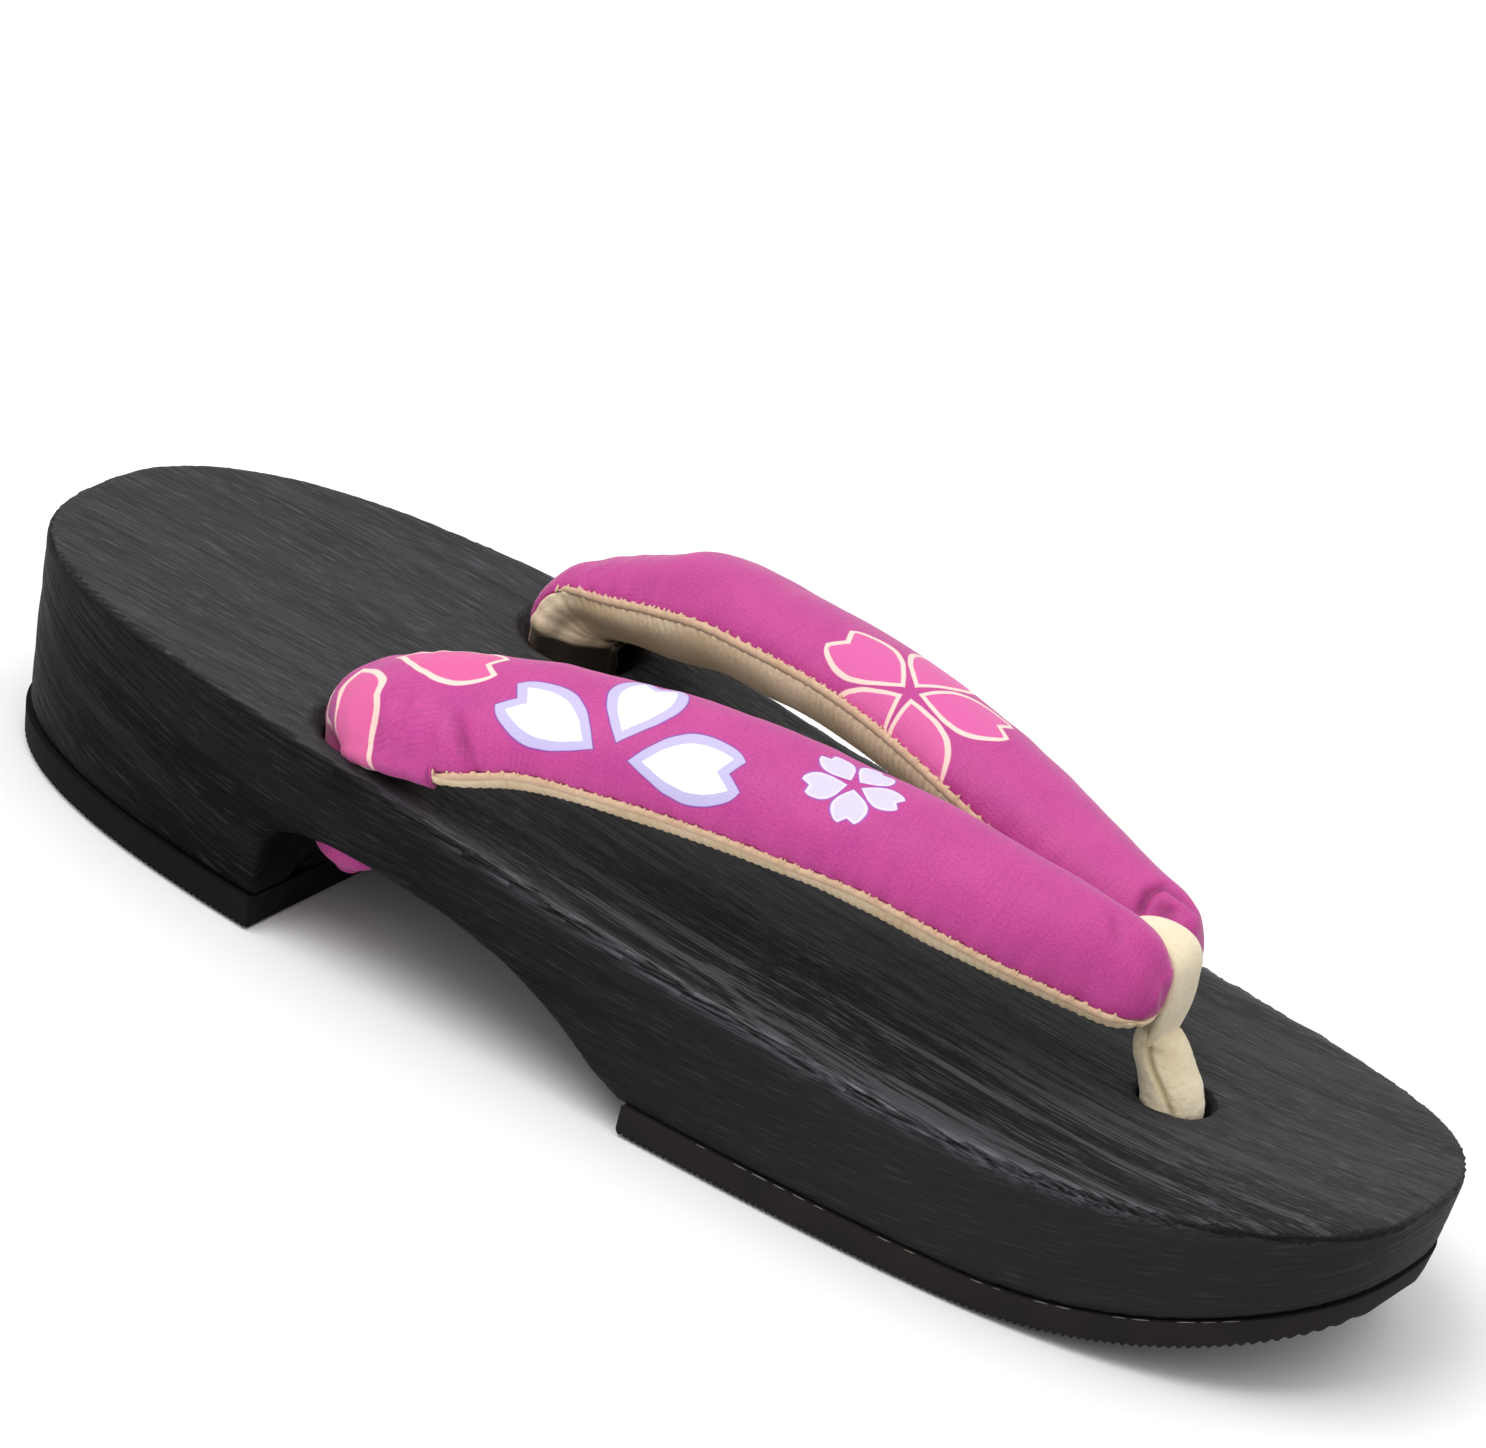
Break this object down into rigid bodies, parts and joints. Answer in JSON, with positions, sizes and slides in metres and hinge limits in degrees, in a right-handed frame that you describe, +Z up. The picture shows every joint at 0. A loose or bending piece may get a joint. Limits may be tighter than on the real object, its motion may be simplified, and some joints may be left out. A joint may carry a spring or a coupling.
{
  "type": "geta sandal",
  "caption": "Low wooden geta sandal with a sculpted one-piece deck, rubber pads under heel and forefoot, and a padded V-shaped thong strap held by a toe post.",
  "frame": {"origin": "centre of the bounding box seen from above, on the floor", "axes": "+X towards the toe, +Y towards the wearer's left, +Z up"},
  "size_m": [0.24, 0.0852, 0.0576],
  "materials": {
    "charred_wood": "charred, brushed and stained black, low sheen",
    "sole_rubber": "matt black moulded rubber",
    "strap_fabric": "magenta woven damask with a printed blossom pattern",
    "lining_velvet": "beige ribbed velvet",
    "post_fleece": "cream brushed fleece"
  },
  "bodies": {
    "root": {"wooden_deck": "charred_wood", "heel_rubber_sole": "sole_rubber", "forefoot_rubber_sole": "sole_rubber", "strap_cover": "strap_fabric", "strap_lining_left": "lining_velvet", "strap_lining_right": "lining_velvet", "toe_post": "post_fleece"}
  },
  "joints": []
}
